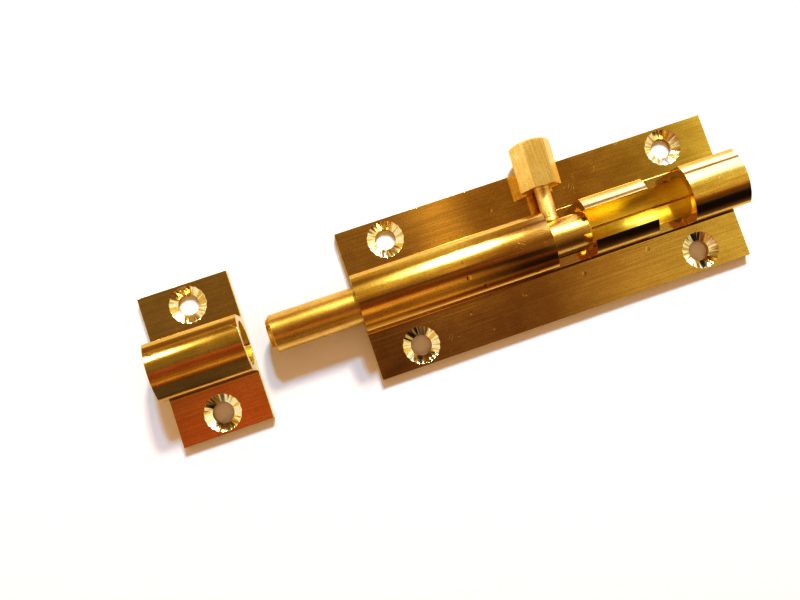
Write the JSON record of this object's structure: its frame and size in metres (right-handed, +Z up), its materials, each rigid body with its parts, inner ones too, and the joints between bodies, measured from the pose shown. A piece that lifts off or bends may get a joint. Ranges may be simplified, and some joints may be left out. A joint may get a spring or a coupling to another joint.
{
  "type": "surface barrel bolt",
  "caption": "Brass surface barrel bolt cut from extrusion, with a round bolt, a hexagonal turning knob and a separate barrel keeper.",
  "frame": {"origin": "centre of the bolt body's back face", "axes": "+X along the bolt away from the keeper, +Y towards the side the knob lies on, +Z up from the back faces"},
  "size_m": [0.1156, 0.0343, 0.0121],
  "materials": {
    "extruded_brass": "polished",
    "turned_brass": "polished"
  },
  "bodies": {
    "base": {"bolt_body": "extruded_brass", "keeper": "extruded_brass"},
    "bolt": {"bolt_rod": "turned_brass"},
    "knob": {"knob": "turned_brass"}
  },
  "joints": [
    {"name": "bolt_slide", "type": "slide", "parent": "base", "child": "bolt", "axis": [1, 0, 0], "range_m": [-0.0007, 0.0034]},
    {"name": "knob_turn", "type": "hinge", "parent": "bolt", "child": "knob", "pos_m": [0.00165, 0, 0.00575], "axis": [1, 0, 0], "range_deg": [0, 180]}
  ]
}
